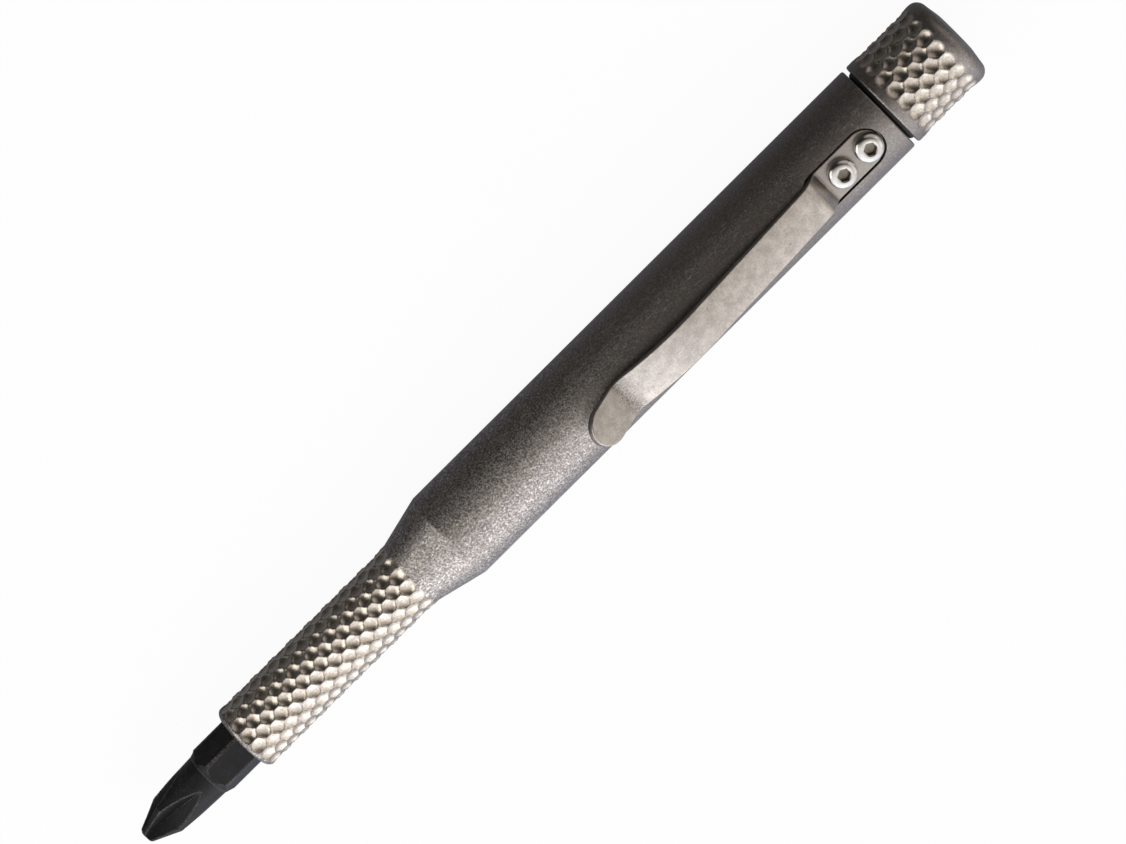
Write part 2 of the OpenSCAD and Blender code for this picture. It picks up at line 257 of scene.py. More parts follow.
def arc(station, radius, r, begin, end, steps):
    """Stations of a rounded edge: a part of a circle round a point of the profile, angles from +station."""
    turn = [math.radians(begin + (end - begin) * i / steps) for i in range(steps + 1)]
    return [(station + r * math.cos(t), radius + r * math.sin(t)) for t in turn]


def spaced(begin, end, pitch):
    """Stations from begin to end, about pitch apart."""
    count = max(1, round(abs(end - begin) / pitch))
    return [begin + (end - begin) * i / count for i in range(count + 1)]


def settle(piece):
    """Turns what the modifiers make into the piece's own mesh, and takes the modifiers off."""
    graph = bpy.context.evaluated_depsgraph_get()
    made = bpy.data.meshes.new_from_object(piece.evaluated_get(graph), preserve_all_data_layers=True,
                                           depsgraph=graph)
    piece.modifiers.clear()
    old, piece.data = piece.data, made
    name = old.name
    bpy.data.meshes.remove(old)
    made.name = name


def outward(piece, merge=0.0):
    """Turns all faces outwards. Points up to merge millimetres apart become one before that."""
    work = bmesh.new()
    work.from_mesh(piece.data)
    if merge:
        bmesh.ops.remove_doubles(work, verts=work.verts, dist=merge * MM)
    bmesh.ops.recalc_face_normals(work, faces=work.faces)
    work.to_mesh(piece.data)
    work.free()


print("lathe ready: each of", BODY_COLUMNS, "columns on the barrel is",
      round(2 * math.pi * BARREL_R / BODY_COLUMNS, 2), "mm wide")

# %% [markdown]
# Finished pieces all end the same way: a finish, smooth shading that stays crisp at real edges, a body to
# ride on and the CAD nodes that they stand for. One helper does that. Only the clip names no body, because
# it reaches between two. A second helper marks the points of a mesh that are worn, and those that get painted
# shade.

# %% Seating a piece
def seat(piece, finish, slot, body, *nodes, crisp=34):
    """Gives a piece its finish and its place in the moving tool."""
    piece.data.materials.clear()
    piece.data.materials.append(finish)
    piece.data.shade_smooth()
    piece.data.set_sharp_from_angle(angle=math.radians(crisp))
    if body:
        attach(piece, body)
    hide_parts(*nodes)
    piece.data.calc_loop_triangles()
    box = np.ptp([tuple(v.co) for v in piece.data.vertices], axis=0) / MM
    print(piece.name, len(piece.data.loop_triangles), "triangles, box", box.round(2).tolist(), "mm")


def marked(piece, name, values):
    """Leaves a number on each point of a mesh, for a finish to read."""
    piece.data.attributes.new(name, "FLOAT", "POINT").data.foreach_set("value", values)


# %% [markdown]
# The finishes come next. All of them are read in millimetres of Object space, so that a grain of a fifth of a
# millimetre is written as five to the millimetre, and it stays with the piece when the piece moves. Noise is
# the raw material: fine noise is blasted grain, broad noise is handling, and stretched noise is a scratch.

# %% Tools for finishes
def finish_bench(name):
    """A new finish, and the place on the piece in millimetres."""
    finish = bpy.data.materials.new(name)
    finish.use_nodes = True
    finish.node_tree.nodes.clear()
    bench = Bench(finish.node_tree)
    here = bench.add("ShaderNodeTexCoord", out="Object")
    mm = bench.add("ShaderNodeVectorMath", {"operation": "SCALE"}, {0: here, "Scale": 1 / MM})
    return finish, bench, mm


def noise(mm, per_mm, detail=3.0, rough=0.6):
    """Noise with per_mm grains to the millimetre."""
    return mm.bench.add("ShaderNodeTexNoise", {"noise_dimensions": "3D"},
                        {"Vector": mm, "Scale": per_mm, "Detail": detail, "Roughness": rough})


def scratches(mm, per_mm, turn, low, high, detail=1.0):
    """Thin lines: the peaks of noise that has few grains along one axis and many along the others."""
    drawn = mm.bench.add("ShaderNodeMapping", {"vector_type": "POINT"},
                         {"Vector": mm, "Rotation": turn, "Scale": per_mm})
    return noise(drawn, 1.0, detail, rough=0.5).rise(low, high)


def tint(share, first, second):
    """A colour between two colours or wires of colour."""
    return share.bench.add("ShaderNodeMix", {"data_type": "RGBA"}, {"Factor": share, "A": first, "B": second},
                           out="Result")


def rgb(r, g, b):
    return (r, g, b, 1.0)


def shaded(bench, colour, rough, height, strength, depth, metallic=1.0, **fixed):
    """The shader at the end of a finish, with a bump of a given depth in millimetres."""
    bump = bench.add("ShaderNodeBump", None,
                     {"Strength": strength, "Distance": depth * MM, "Height": height}, out="Normal")
    sockets = {"Base Color": colour, "Roughness": rough, "Metallic": metallic, "Normal": bump}
    sockets.update({name.replace("_", " "): value for name, value in fixed.items()})
    shader = bench.add("ShaderNodeBsdfPrincipled", None, sockets)
    bench.add("ShaderNodeOutputMaterial", None, {"Surface": shader})


def mark(bench, name):
    """A number that the mesh carries at each of its points."""
    return bench.add("ShaderNodeAttribute", {"attribute_name": name}, out="Fac")


# %% [markdown]
# The body and the cap are titanium that was blasted and tumbled: dark, warm and grey, with a grain of
# bright flecks and fine hair scratches, which is stronger towards the nose, where a hand rubs it. Towards
# the rear its colour is painted a little darker, as painted shade where the light falls off, and the strip
# under the clip is painted darker still, as the clip's painted shadow and dark painted reflection. The
# dimples were cut after the blasting, so they are bare, brighter and smoother, and the ridges between them
# have kept a darker line. The mesh says where: the dimple tree below leaves two numbers on every point, in
# millimetres.
# One is the depth of the cut, and the other is small on a ridge and grows towards the middle of a dimple.

# %% Blasted titanium
def blasted_titanium():
    finish, bench, mm = finish_bench("blasted_titanium")
    grain = noise(mm, 4.2)
    fine = noise(mm, 9.0, detail=2.0, rough=0.5)
    cloud = noise(mm, 0.5)
    warm = noise(mm, 0.25)
    along, across, up = (mm.axis(k) for k in "XYZ")
    handled = 0.3 + 0.7 * along.rise(-25, 10)
    # painted shade: the colour gets darker towards the cap, where the light falls off
    rear = 1 - along.rise(-62, -20)
    # painted shadow and reflection of the clip on the barrel under it
    clip_painted_shadow = (1 - abs(across).rise(2.4, 4.6)) * up.rise(AXIS, AXIS + 3)
    clip_painted_shadow = clip_painted_shadow * along.rise(9 - MID, 15 - MID) * (1 - along.rise(45 - MID, 54 - MID))
    fleck = noise(mm, 3.4, detail=2.0).rise(0.56, 0.64) * handled
    hair = (scratches(mm, (0.5, 6.0, 6.0), (0.0, 0.5, 0.6), 0.68, 0.73)
            + scratches(mm, (6.0, 0.6, 6.0), (0.4, 0.0, 0.9), 0.68, 0.73))
    speckle = (grain * 0.75 + fine * 0.15 + cloud * 0.10).rise(0.43, 0.59) - 0.5
    tone = 0.40 + speckle * handled + handled * 0.10
    dark = tint(warm.rise(0.35, 0.65), rgb(0.204, 0.184, 0.169), rgb(0.214, 0.186, 0.162))
    blasted = tint(tone, dark, rgb(0.478, 0.436, 0.400))
    blasted = tint((fleck * 0.65 + hair * 0.3).least(0.75), blasted, rgb(0.86, 0.83, 0.80))
    # painted shadow of the clip: the barrel's colour darkened under it
    blasted = tint(clip_painted_shadow * 0.62, blasted, rgb(0.062, 0.056, 0.051))
    # painted shade towards the rear of the barrel and the cap
    blasted = tint(rear * 0.25, blasted, rgb(0.10, 0.09, 0.082))
    bare = mark(bench, "cut").rise(0.0, 0.05)
    line = 1 - mark(bench, "ridge").rise(0.02, 0.19)
    smooth = tint(noise(mm, 3.2).rise(0.35, 0.7), rgb(0.56, 0.492, 0.409), rgb(0.78, 0.704, 0.603))
    # the same painted shade towards the rear, on the cap's dimples
    smooth = tint(rear * 0.28, smooth, rgb(0.25, 0.225, 0.20))
    colour = tint(bare, blasted, tint(line, smooth, rgb(0.26, 0.232, 0.205)))
    rough_blasted = 0.42 + (grain - 0.5) * 0.25 - fleck * 0.06
    rough_bare = 0.26 + (cloud - 0.5) * 0.10 + line * 0.15
    rough = rough_blasted * (1 - bare) + rough_bare * bare
    height = (grain * 0.7 + fine * 0.3 - hair * 0.2) * (1 - bare * 0.8)
    shaded(bench, colour, rough, height, strength=0.6, depth=0.06)
    return finish


blasted = blasted_titanium()
print(blasted.name, len(blasted.node_tree.nodes), "nodes")

# %% [markdown]
# The clip is titanium too, but it was tumbled until it shone: lighter, with small dents and long soft
# scratches along the arm. The bend that goes over the hem of a pocket is rubbed dark and pitted. The plate
# that lies in its slot among the screws is painted darker, as painted shade of the recess, and so is the
# under side of the whole strip, as painted shade where it faces the barrel. The mesh marks that side with
# a number of its own.

# %% Tumbled titanium
def tumbled_titanium():
    finish, bench, mm = finish_bench("tumbled_titanium")
    grain = noise(mm, 4.0)
    cloud = noise(mm, 0.7, rough=0.55)
    drag = scratches(mm, (0.35, 4.5, 4.5), (0.0, 0.0, 0.12), 0.62, 0.72, detail=2.0)
    along = mm.axis("X")
    bend = 1 - abs(along - (46.1 - MID)).rise(0.2, 1.7)
    rubbed = bend * (noise(mm, 5.5, rough=0.7).rise(0.44, 0.62) * 0.8 + 0.2)
    near_bend = 1 - abs(along - (43.5 - MID)).rise(1.0, 3.5)
    dent = noise(mm, 2.8, detail=2.0).rise(0.68 - near_bend * 0.09, 0.76 - near_bend * 0.09)
    # painted shade: the plate in its slot among the screws is made darker
    plate_painted_shade = 1 - along.rise(11.3 - MID, 13.2 - MID)
    tone = (grain * 0.5 + cloud * 0.5).rise(0.36, 0.68)
    colour = tint(tone, rgb(0.41, 0.371, 0.328), rgb(0.61, 0.556, 0.494))
    colour = tint(drag * 0.35, colour, rgb(0.72, 0.675, 0.63))
    colour = tint((dent * 0.5 + rubbed * 0.8).least(0.85), colour, rgb(0.128, 0.110, 0.090))
    # painted shade of the recess on the plate
    colour = tint(plate_painted_shade * (0.35 + cloud * 0.4), colour, rgb(0.20, 0.178, 0.158))
    # painted shade on the under side of the strip, where it faces the barrel
    colour = tint(mark(bench, "below") * 0.7, colour, rgb(0.12, 0.108, 0.096))
    rough = 0.36 + (grain - 0.5) * 0.22 + rubbed * 0.15
    height = grain * 0.5 + cloud * 0.8 - dent * 0.5 - drag * 0.2
    shaded(bench, colour, rough, height, strength=0.5, depth=0.03)
    return finish


tumbled = tumbled_titanium()
print(tumbled.name, len(tumbled.node_tree.nodes), "nodes")

# %% [markdown]
# The screws are polished stainless steel, the bits are tool steel with a black oxide skin, the magnet is
# nickel plated, and the two soft pieces are rubber and silicone. Polished steel is mostly reflection, so
# its colour hardly changes, but fine marks and a little unevenness in its roughness keep it from looking
# drawn. The screws' key sockets are painted dark brown and rougher, as painted shade in the recess, and the
# oxide is worn off where an edge rubs. Both are marked on the meshes.

# %% Steel, oxide, nickel, rubber and silicone
def polished_steel():
    finish, bench, mm = finish_bench("polished_steel")
    grain = noise(mm, 9.0, detail=2.0, rough=0.5)
    cloud = noise(mm, 1.4, detail=2.0, rough=0.5)
    scuff = scratches(mm, (1.0, 9.0, 3.0), (0.2, 0.0, 0.7), 0.64, 0.72)
    # painted shade inside the key sockets: darker, browner and rougher
    grime = mark(bench, "grime")
    colour = tint(cloud.rise(0.3, 0.7), rgb(0.53, 0.508, 0.472), rgb(0.63, 0.606, 0.566))
    colour = tint(grime * (0.65 + cloud * 0.5).least(1), colour, rgb(0.21, 0.183, 0.145))
    rough = 0.17 + (grain - 0.5) * 0.10 + scuff * 0.1 + grime * 0.25
    shaded(bench, colour, rough, grain - scuff * 0.5, strength=0.05, depth=0.002)
    return finish


def black_oxide():
    finish, bench, mm = finish_bench("black_oxide")
    grain = noise(mm, 7.0)
    cloud = noise(mm, 0.9)
    patch = noise(mm, 0.6, detail=1.0, rough=0.5).rise(0.42, 0.62)
    dust = noise(mm, 5.0, detail=2.0).rise(0.62, 0.72) * patch
    worn = mark(bench, "wear") * grain.rise(0.40, 0.62)
    skin = (grain * 0.5 + cloud * 0.5).rise(0.35, 0.7)
    colour = tint(skin, rgb(0.006, 0.006, 0.0065), rgb(0.014, 0.014, 0.015))
    colour = tint(worn * 0.8, colour, rgb(0.15, 0.138, 0.115))
    colour = tint(dust * 0.5, colour, rgb(0.13, 0.115, 0.085))
    rough = 0.40 + (grain - 0.5) * 0.25 + dust * 0.2
    height = grain * 0.6 + cloud * 0.6
    shaded(bench, colour, rough, height, strength=0.45, depth=0.03, metallic=0.0, Specular_IOR_Level=0.22)
    return finish


def nickel_plate():
    finish, bench, mm = finish_bench("nickel_plate")
    cloud = noise(mm, 1.8)
    fine = noise(mm, 12.0, detail=2.0, rough=0.5)
    colour = tint(cloud.rise(0.3, 0.7), rgb(0.52, 0.51, 0.49), rgb(0.66, 0.65, 0.62))
    shaded(bench, colour, 0.14 + fine * 0.14, fine, strength=0.12, depth=0.01)
    return finish


def soft_rubber(name, low, high, rough):
    finish, bench, mm = finish_bench(name)
    grain = noise(mm, 8.0)
    cloud = noise(mm, 1.1)
    colour = tint((grain * 0.4 + cloud * 0.6).rise(0.35, 0.7), low, high)
    rough = rough + (grain - 0.5) * 0.2
    shaded(bench, colour, rough, grain, strength=0.35, depth=0.02, metallic=0.0)
    return finish


steel, oxide, nickel = polished_steel(), black_oxide(), nickel_plate()
seal_rubber = soft_rubber("seal_rubber", rgb(0.010, 0.010, 0.011), rgb(0.026, 0.026, 0.027), 0.55)
pad_silicone = soft_rubber("pad_silicone", rgb(0.24, 0.035, 0.022), rgb(0.33, 0.058, 0.036), 0.5)
print([m.name for m in (steel, oxide, nickel, seal_rubber, pad_silicone)])

# %% [markdown]
# The dimples are the sign of this tool, and they follow a rule: a ball cutter is set against the turned
# bar, sinks a little, and the bar is indexed to the next place; every other ring is turned by half a step.
# Each dimple could be a sphere that a Boolean cuts away, but hundreds of them are slow and leave ragged
# edges. The tree below does what the cutter does to each point of the turned surface: it finds the two
# nearest places of the ball in the nearest even ring and the two in the nearest odd ring, and lowers the
# point to the deepest cut. It also keeps how far the second deepest cut lies above that, which is next to
# nothing on a ridge between two dimples.

# %% The ball cutter as a tree
def tree_with(name, *floats, **others):
    """A new geometry tree with named inputs, as a bench and its input wires."""
    tree = bpy.data.node_groups.new(name, "GeometryNodeTree")
    tree.interface.new_socket("Geometry", in_out="OUTPUT", socket_type="NodeSocketGeometry")
    tree.interface.new_socket("Geometry", in_out="INPUT", socket_type="NodeSocketGeometry")
    for size, kind in [*((size, "Float") for size in floats), *others.items()]:
        tree.interface.new_socket(size, in_out="INPUT", socket_type="NodeSocket" + kind)
    bench = Bench(tree)
    node = bench.add("NodeGroupInput").socket.node
    return tree, bench, {s.name: Wire(bench, s) for s in node.outputs if s.name}


def close_tree(bench, geometry, finish):
    """The end of every tree: instances made real, and the finish set."""
    real = bench.add("GeometryNodeRealizeInstances", None, {"Geometry": geometry})
    dressed = bench.add("GeometryNodeSetMaterial", None, {"Geometry": real, "Material": finish})
    bench.add("NodeGroupOutput", None, {"Geometry": dressed})


def round_the_axis(bench, axis_height):
    """X, Y, height over the axis, distance from it and angle round it, at every point of the mesh."""
    x, y, z = (bench.add("GeometryNodeInputPosition").axis(k) for k in "XYZ")
    up = z - axis_height
    radius = (y * y + up * up).by("SQRT")
    return x, y, up, radius, radius.sum("ARCTAN2", y * -1.0, up)


def cut_to(bench, size, geometry, x, y, up, share):
    """The end of both cutters: every point moves to a share of its distance from the axis."""
    place = bench.add("ShaderNodeCombineXYZ", None,
                      {"X": x, "Y": y * share, "Z": up * share + size["Axis height"]})
    shaped = bench.add("GeometryNodeSetPosition", None, {"Geometry": geometry, "Position": place})
    close_tree(bench, shaped, size["Finish"])


def ball_cutter():
    tree, bench, size = tree_with(
        "ball_cutter", "Axis height", "Surface radius", "Ball radius", "Depth", "First ring", "Ring pitch",
        "Rings", "Per ring", "Phase", Finish="Material")
    x, y, up, radius, turn = round_the_axis(bench, size["Axis height"])
    ball = size["Ball radius"]
    centre = size["Surface radius"] + ball - size["Depth"]
    step = math.tau / size["Per ring"]
    along = (size["First ring"] - x) / size["Ring pitch"]
    lowest, second = radius, radius + 1
    for odd in (0, 1):
        last = ((size["Rings"] - (1 + odd)) / 2).by("FLOOR")
        ring = ((along - odd) / 2).by("ROUND").most(0).least(last) * 2 + odd
        off = (along - ring) * size["Ring pitch"]
        place = (turn - size["Phase"]) / step - odd / 2
        near = abs(place - place.by("ROUND")) * step
        for aside in (near, step - near):
            side = centre * aside.by("SINE")
            room = ball * ball - off * off - side * side
            floor = centre * aside.by("COSINE") - room.most(0).by("SQRT") + (1 - room.over(0))
            second = second.least(lowest.most(floor))
            lowest = lowest.least(floor)
    kept = size["Geometry"]
    for name, value in (("cut", radius - lowest), ("ridge", (second - lowest).least(MM))):
        kept = bench.add("GeometryNodeStoreNamedAttribute", {"data_type": "FLOAT", "domain": "POINT"},
                         {"Geometry": kept, "Name": name, "Value": value / MM})
    cut_to(bench, size, kept, x, y, up, lowest / radius)
    return tree


def through(piece, tree, values):
    """Runs a mesh through a tree, with the inputs set by their identifiers."""
    modifier = piece.modifiers.new(tree.name, "NODES")
    modifier.node_group = tree
    for item in tree.interface.items_tree:
        if item.item_type == "SOCKET" and item.in_out == "INPUT" and item.name in values:
            modifier[item.identifier] = values[item.name]
    settle(piece)


dimples = ball_cutter()


def dimpled(piece, radius, depth, first, pitch, rings, per_ring, phase=0.0):
    """Cuts rings of dimples, from the station first towards the rear."""
    through(piece, dimples, {
        "Axis height": AXIS * MM, "Surface radius": radius * MM, "Ball radius": BALL_R * MM,
        "Depth": depth * MM, "First ring": (first - MID) * MM, "Ring pitch": pitch * MM,
        "Rings": float(rings), "Per ring": float(per_ring), "Phase": math.radians(phase),
        "Finish": blasted})


print(dimples.name, len(dimples.nodes), "nodes")

# %% [markdown]
# The thread between body and cap shows when the cap is off. It is the same idea on a helix: a point is
# lowered by a wave that runs once round the axis for each turn of the thread, and that fades in and out at
# both ends, as a thread does where the tool runs out. A minus depth cuts outwards, for the thread in the cap.

# %% The thread as a tree
def thread_cutter():
    tree, bench, size = tree_with(
        "thread_cutter", "Axis height", "Surface radius", "Depth", "Pitch", "From", "To", Finish="Material")
    x, y, up, radius, turn = round_the_axis(bench, size["Axis height"])
    phase = (x / size["Pitch"] - turn / math.tau).by("FRACT")
    groove = abs(phase * 2 - 1).rise(0.12, 0.92)
    fade_in = ((x - size["From"]) / size["Pitch"]).rise(0.1, 0.8)
    fade_out = ((size["To"] - x) / size["Pitch"]).rise(0.1, 0.8)
    on_it = 1 - abs(radius - size["Surface radius"]).over(0.02 * MM)
    reached = radius - size["Depth"] * groove * fade_in * fade_out * on_it
    cut_to(bench, size, size["Geometry"], x, y, up, reached / radius)
    return tree


thread = thread_cutter()


def threaded(piece, radius, depth, begin, end):
    """Cuts a thread between two stations, where the surface has this radius."""
    through(piece, thread, {
        "Axis height": AXIS * MM, "Surface radius": radius * MM, "Depth": depth * MM,
        "Pitch": THREAD_PITCH * MM, "From": (begin - MID) * MM, "To": (end - MID) * MM, "Finish": blasted})


print(thread.name, len(thread.nodes), "nodes")

# %% [markdown]
# The body is one bar, turned in two halves here because only the barrel gets its slot by a Boolean, and a
# Boolean is quick and clean on a mesh with few rows. The nose half has nine rows to a ring of dimples and
# twelve columns to a dimple. Its faces there are triangles, and every other column is moved by about a third
# of a row, so that a ridge can run in any direction without visible steps. Its mouth is the hex socket. The
# edges between cone, barrel and nose have two close rows each, a tiny rounding.

# %% Nose half of the body
nose_first, nose_pitch, nose_rings = NOSE_END - 1.7, 1.56, 18
nose_fine = nose_pitch / DIMPLE_ROWS
nose_last = math.floor((nose_first - CONE_END - 0.1) / nose_fine)
nose_rows = [nose_first - i * nose_fine for i in range(-4, nose_last)]
pocket_r, socket_flat, socket_corner, mouth_round = 3.02, 3.225, 3.70, 0.9
seam_r = BARREL_R - 0.003
nose_half = turned("body_shell", [
    (POCKET_FLOOR, 0), (POCKET_FLOOR, 2.9), (POCKET_FLOOR + 0.1, pocket_r), (SOCKET_FLOOR, pocket_r),
    (SOCKET_FLOOR, socket_flat, socket_corner), (NOSE_END - 0.35, socket_flat, socket_corner),
    (NOSE_END - 0.05, 3.72), (NOSE_END, 3.78),
    *arc(NOSE_END - mouth_round, NOSE_R - mouth_round, mouth_round, 0, 90, 9),
    *[(a, NOSE_R) for a in nose_rows],
    (CONE_END + 0.03, NOSE_R), (CONE_END - 0.05, NOSE_R + 0.011),
    (BARREL_END + 0.06, BARREL_R - 0.0143), (BARREL_END, seam_r)], BODY_COLUMNS,
    flat_turn=SOCKET_TURN, zigzag=(nose_rows[0] + 0.01, nose_rows[-1] - 0.01))
dimpled(nose_half, NOSE_R, 0.4, nose_first, nose_pitch, nose_rings, NOSE_COUNT)
print("nose half:", len(nose_half.data.vertices), "points,", nose_rings * NOSE_COUNT, "dimples")

# %% [markdown]
# The barrel half is closed with a disc at the cone while the slot is milled, because a Boolean needs closed
# solids. The slot has round ends, as an end mill leaves it, and two tapped holes. After that the disc goes,
# the halves are joined, and the seam at the cone is merged, so that the body is one mesh without holes. The
# floor of the magnet's pocket lies among the rows with triangles, so it has faces with no area in its middle,
# out of sight. They are the crowded edges in the count: edges with more than two faces.

# %% Barrel half, slot and join
def stacked(name, loops):
    """A closed block from loops of points, one over another."""
    n = len(loops[0])
    top = (len(loops) - 1) * n
    faces = [tuple(range(n))[::-1], tuple(range(top, top + n))]
    for low in range(0, top, n):
        faces += [(low + i, low + (i + 1) % n, low + n + (i + 1) % n, low + n + i) for i in range(n)]
    block = built(name, [p for loop in loops for p in loop], faces)
    outward(block)
    return block


def prism(name, outline, low, high):
    """An upright block with an outline of (station, across) points, between two heights over the axis."""
    return stacked(name, [[spot(a, y, h) for a, y in outline] for h in (low, high)])


def stadium(begin, end, width, steps=28):
    """Outline with round ends: a slot, or the clip seen from above."""
    r = width / 2
    turns = [math.pi * i / steps for i in range(steps + 1)]
    front = [(end - r + r * math.sin(t), -r * math.cos(t)) for t in turns]
    rear = [(begin + r - r * math.sin(t), r * math.cos(t)) for t in turns]
    return front + rear


def carved(piece, cutters):
    """Cuts closed blocks out of a closed piece."""
    for cutter in cutters:
        modifier = piece.modifiers.new(cutter.name, "BOOLEAN")
        modifier.operation, modifier.solver, modifier.object = "DIFFERENCE", "EXACT", cutter
    settle(piece)
    for cutter in cutters:
        bpy.data.objects.remove(cutter)


rear_screw, front_screw = 4.27, 8.72
slot_begin, slot_end, slot_w, slot_floor, over_barrel = 2.07, 14.52, 5.5, 4.724, 9
relief_end, relief_r, neck_end, rim = -1.05, 4.5, -7, 0.3
barrel_half = turned("barrel_half", [
    (BARREL_END, 0), (BARREL_END, seam_r), (BARREL_END - 0.06, BARREL_R),
    (40, BARREL_R), *arc(rim, BARREL_R - rim, rim, 90, 180, 5), (0, relief_r), (relief_end, relief_r),
    *[(a, NECK_R) for a in spaced(-1.1, -6.55, 0.1)], (neck_end, 4.35), (neck_end, 3.95),
    (-6.85, BORE_R), (30, BORE_R), (68.05, BORE_R), (70.33, 0)], BODY_COLUMNS)
outward(barrel_half)
drill = [(math.cos(t), math.sin(t)) for t in np.radians(range(0, 360, 15))]
carved(barrel_half, [
    prism("slot_mill", stadium(slot_begin, slot_end, slot_w), slot_floor, over_barrel),
    *[prism("tap_drill", [(screw + a, y) for a, y in drill], 3, 5) for screw in (rear_screw, front_screw)]])
threaded(barrel_half, NECK_R, THREAD_DEPTH, -6.6, relief_end)

seam = (BARREL_END - MID) * MM


def at_seam(point):
    return abs(point.co.x - seam) < 0.0001 * MM


joined = bmesh.new()
joined.from_mesh(barrel_half.data)
bmesh.ops.delete(joined, geom=[f for f in joined.faces if all(map(at_seam, f.verts))], context="FACES")
joined.from_mesh(nose_half.data)
bmesh.ops.remove_doubles(joined, verts=list(filter(at_seam, joined.verts)), dist=0.002 * MM)
bmesh.ops.recalc_face_normals(joined, faces=joined.faces)
sharing = [len(e.link_faces) for e in joined.edges]
print("body: open edges", sum(n < 2 for n in sharing), "and crowded edges", sum(n > 2 for n in sharing))
joined.to_mesh(nose_half.data)
joined.free()
bpy.data.objects.remove(barrel_half)
seat(nose_half, blasted, "blasted_titanium", "handle", "body", crisp=40)

# %% [markdown]
# The cap is turned the same way and gets the same two trees: dimples outside, thread inside. Its columns
# start at the angle of its first dimple, so that here too the dimples sit on the points of the mesh. The rows
# of its thread run the other way, which leaves its columns almost straight. Its floor is like the pocket's.

# %% End cap
cap_first, cap_pitch, cap_rings, cap_phase = -3.05, 1.63, 5, 7
cap_rows = [cap_first - i * cap_pitch / DIMPLE_ROWS for i in range(-12, 46)]
cap_end, cap_floor, cap_step, cap_mouth = -13.05, -9.5, -7.5, -0.55
cap_thread_r, crown = 4.8, 1.5
end_cap = turned("cap_shell", [
    (cap_floor, 0), (cap_floor, 3.93), (cap_step, 3.93), (cap_step, cap_thread_r),
    *[(a, cap_thread_r) for a in spaced(-7.4, -1.4, 0.1)],
    (-1.25, 4.82), (-1.05, 5.02), (-1.05, 5.6), (-0.63, 5.6), (cap_mouth, 5.68), (cap_mouth, 5.9),
    *arc(cap_mouth - rim, BARREL_R - rim, rim, 0, 90, 5), *[(a, BARREL_R) for a in cap_rows],
    *arc(-11.25, BARREL_R - crown, crown, 90, 180, 12), (-13.03, 3.12), (cap_end, 2.95), (cap_end, 0)],
    CAP_COUNT * DIMPLE_COLUMNS, start=cap_phase, zigzag=(cap_rows[0] + 0.01, cap_rows[-1] - 0.01))
outward(end_cap)
threaded(end_cap, cap_thread_r, -THREAD_DEPTH, cap_step, -1.2)
dimpled(end_cap, BARREL_R, 0.45, cap_first, cap_pitch, cap_rings, CAP_COUNT, cap_phase)
seat(end_cap, blasted, "blasted_titanium", "cap", "end_cap", crisp=40)

# %% [markdown]
# The clip starts flat, as it does in the press: a plate with round ends, rounded edges and two holes. Then
# every point is carried on to the bent line, by its distance along the strip and its height over the middle
# of the sheet. A curve with a bevel would be quicker, but it has no holes. While the strip is flat it is easy
# to tell which points are on its under side, so that is noted before it is bent, for the painted shade that
# darkens that side.

# %% Pocket clip
clip_w, clip_t, clip_edge, clip_hole_r, clip_pitch = 5.0, 1.0, 0.16, 1.1, 0.6
clip_corners = [(2.32, 5.224), (11.42, 5.224), (13.02, 6.95), (38.42, 9.85), (46.42, 7.77), (52.62, 11.45)]
clip_radii = [1.2, 1.5, 28, 2]


def rounded_line(corners, radii, steps=24):
    """A line of straight runs with an arc at every inner corner."""
    line = [Vector(corners[0])]
    for before, corner, after, r in zip(corners, corners[1:], corners[2:], radii):
        b = Vector(corner)
        u, v = (Vector(before) - b).normalized(), (Vector(after) - b).normalized()
        half = math.acos(u.dot(v)) / 2
        centre = b + (u + v).normalized() * r / math.sin(half)
        first, last = b + u * r / math.tan(half) - centre, b + v * r / math.tan(half) - centre
        line += [centre + first.lerp(last, i / steps).normalized() * r for i in range(steps + 1)]
    return line + [Vector(corners[-1])]


clip_line = rounded_line(clip_corners, clip_radii)
clip_run = np.concatenate([[0], np.cumsum([(b - a).length for a, b in zip(clip_line, clip_line[1:])])])
clip_a, clip_h = np.array([p.x for p in clip_line]), np.array([p.y for p in clip_line])


def run_at(station):
    return float(np.interp(station, clip_a, clip_run))


def bent(run):
    """Station and height of a point of the bent line."""
    return np.array([np.interp(run, clip_run, clip_a), np.interp(run, clip_run, clip_h)])


def on_clip(run, across, height, step=0.02):
    """The place in the frame of a point of the flat strip."""
    a, h = bent(run)
    da, dh = bent(run + step) - bent(run - step)
    length = math.hypot(da, dh)
    return spot(a - dh / length * height, across, h + da / length * height)


def flat_clip():
    """The strip before it is bent: X is the run along it, Z the height over its middle."""
    begin, end = clip_corners[0][0], clip_corners[-1][0]
    turns = [math.radians(t) for t in spaced(0, 90, 22.5)]
    levels = [(clip_edge * (1 - math.sin(t)), clip_edge * (1 - math.cos(t)) - clip_t / 2) for t in turns]
    levels += [(inset, -h) for inset, h in reversed(levels)]
    loops = []
    for inset, h in levels:
        outline = stadium(begin + inset, end - inset, clip_w - 2 * inset)
        loops.append([(run_at(a), y, h) for a, y in outline])
    return stacked("clip_strip", loops)


